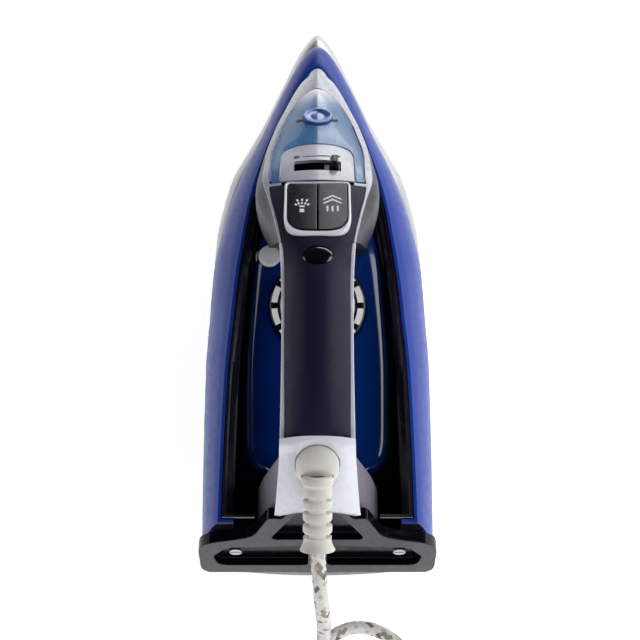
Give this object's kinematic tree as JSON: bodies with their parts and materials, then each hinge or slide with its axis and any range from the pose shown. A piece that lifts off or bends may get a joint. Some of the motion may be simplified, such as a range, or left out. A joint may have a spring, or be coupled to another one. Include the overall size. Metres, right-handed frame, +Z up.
{
  "type": "steam clothes iron",
  "caption": "Corded steam iron with pointed sole, water tank, spray and steam buttons, steam slider, temperature dial, filler flap and swivel cord.",
  "frame": {"origin": "centre of the iron's footprint on the face of the sole, cord left out", "axes": "+X to the user's right, +Y to the tip of the sole, +Z up from the sole to the handle"},
  "size_m": [0.151, 0.5295, 0.1315],
  "materials": {
    "sole_metal": "satin with steam vents",
    "cast_alloy": "as cast",
    "element_steel": "oxidised",
    "cover_alloy": "pressed sheet",
    "screw_steel": "zinc plated",
    "thermostat_base": "matt",
    "fuse_white": "matt",
    "silver_skirt": "satin silver",
    "blue_shell": "satin",
    "purple_grey": "semi gloss",
    "dark_navy": "high gloss",
    "tank_blue": "clear tinted, glossy",
    "seal_silicone": "soft",
    "valve_orange": "soft",
    "inner_white": "moulded",
    "tube_clear": "clear hose",
    "neck_blue": "clear tinted",
    "pin_grey": "drawn",
    "cheek_grey": "satin",
    "pearl_white": "pearl",
    "window_blue": "clear tinted, glossy",
    "tray_pearl": "pearl",
    "mark_black": "printed",
    "gloss_black": "high gloss",
    "bright_trim": "satin chrome",
    "button_navy": "semi gloss",
    "spring_steel": "drawn wire",
    "soft_grip": "soft touch",
    "lens_dark": "smoked",
    "led_red": "clear red",
    "handle_white": "gloss",
    "pillar_grey": "semi gloss",
    "button_white": "gloss",
    "dial_black": "gloss",
    "scale_white": "printed",
    "heel_charcoal": "satin",
    "block_ivory": "moulded",
    "wire_insulation": "silicone insulation",
    "cream_rubber": "soft moulded",
    "cord_braid": "braided textile",
    "tie_black": "soft",
    "pin_brass": "nickel plated brass"
  },
  "bodies": {
    "housing": {"soleplate": "sole_metal", "heater_casting": "cast_alloy", "heating_element": "element_steel", "chamber_cover": "cover_alloy", "chamber_screws": "screw_steel", "thermostat": "thermostat_base", "thermal_fuse": "fuse_white", "lower_skirt": "silver_skirt", "side_shell": "blue_shell", "inner_rim": "purple_grey", "deck": "dark_navy", "tank_lower": "tank_blue", "tank_seal": "seal_silicone", "tank_upper": "tank_blue", "drip_valve": "valve_orange", "spray_nozzle": "inner_white", "spray_tube": "tube_clear", "filler_neck": "neck_blue", "filler_pin": "pin_grey", "head_side": "cheek_grey", "head_frame": "pearl_white", "nose_window": "window_blue", "nose_tray": "tray_pearl", "control_panel": "pearl_white", "panel_marks": "mark_black", "slider_guide": "gloss_black", "button_trim": "bright_trim", "spray_pump": "inner_white", "steam_pump": "inner_white", "spray_spring": "spring_steel", "steam_spring": "spring_steel", "grip": "soft_grip", "indicator_lens": "lens_dark", "pilot_light": "led_red", "handle_shell": "handle_white", "rear_cover": "handle_white", "rear_pillar": "pillar_grey", "clean_socket": "inner_white", "clean_spring": "spring_steel", "heel": "heel_charcoal", "heel_screws": "screw_steel", "terminal_block": "block_ivory", "wire_loom": "wire_insulation", "cord_lead": "cord_braid", "cord_coil": "cord_braid", "cord_tie": "tie_black", "cord_tail": "cord_braid", "plug_body": "cream_rubber", "plug_pins": "pin_brass"},
    "spray_plunger": {"spray_button": "button_navy"},
    "steam_plunger": {"steam_button": "button_navy"},
    "slider": {"steam_slider": "gloss_black"},
    "valve": {"valve_rod": "inner_white"},
    "dial": {"temperature_dial": "dial_black", "dial_scale": "scale_white", "dial_cap": "button_white"},
    "filler_flap": {"filler_cap": "neck_blue"},
    "clean_plunger": {"clean_button": "button_white"},
    "cord_swivel": {"cord_ball": "cream_rubber", "strain_relief": "cream_rubber"}
  },
  "joints": [
    {"name": "spray_press", "type": "slide", "parent": "housing", "child": "spray_plunger", "axis": [0, -0.4067, -0.9135], "range_m": [0, 0.003], "stiffness_N_per_m": 600, "springref_m": -0.001, "deforming": ["spray_spring"]},
    {"name": "steam_press", "type": "slide", "parent": "housing", "child": "steam_plunger", "axis": [0, -0.4067, -0.9135], "range_m": [0, 0.003], "stiffness_N_per_m": 600, "springref_m": -0.001, "deforming": ["steam_spring"]},
    {"name": "steam_slide", "type": "slide", "parent": "housing", "child": "slider", "axis": [1, 0, 0], "range_m": [-0.014, 0]},
    {"name": "valve_lift", "type": "slide", "parent": "housing", "child": "valve", "axis": [0, 0, 1], "range_m": [0, 0.003]},
    {"name": "dial_turn", "type": "hinge", "parent": "housing", "child": "dial", "pos_m": [0, -0.0275, 0.058], "axis": [0, -0.0958, 0.9954], "range_deg": [-135, 135]},
    {"name": "flap_open", "type": "hinge", "parent": "housing", "child": "filler_flap", "pos_m": [0, 0.06394, 0.0824], "axis": [1, 0, 0], "range_deg": [0, 60]},
    {"name": "clean_press", "type": "slide", "parent": "housing", "child": "clean_plunger", "axis": [0, 0, -1], "range_m": [0, 0.0025], "stiffness_N_per_m": 500, "springref_m": -0.001, "deforming": ["clean_spring"]},
    {"name": "cord_turn", "type": "hinge", "parent": "housing", "child": "cord_swivel", "pos_m": [0, -0.1205, 0.1114], "axis": [0, -0.6428, 0.766], "range_deg": [-35, 35], "deforming": ["cord_lead"]}
  ],
  "couplings": [
    {"joint": "valve_lift", "follows": "steam_slide", "ratio": -0.2142}
  ]
}
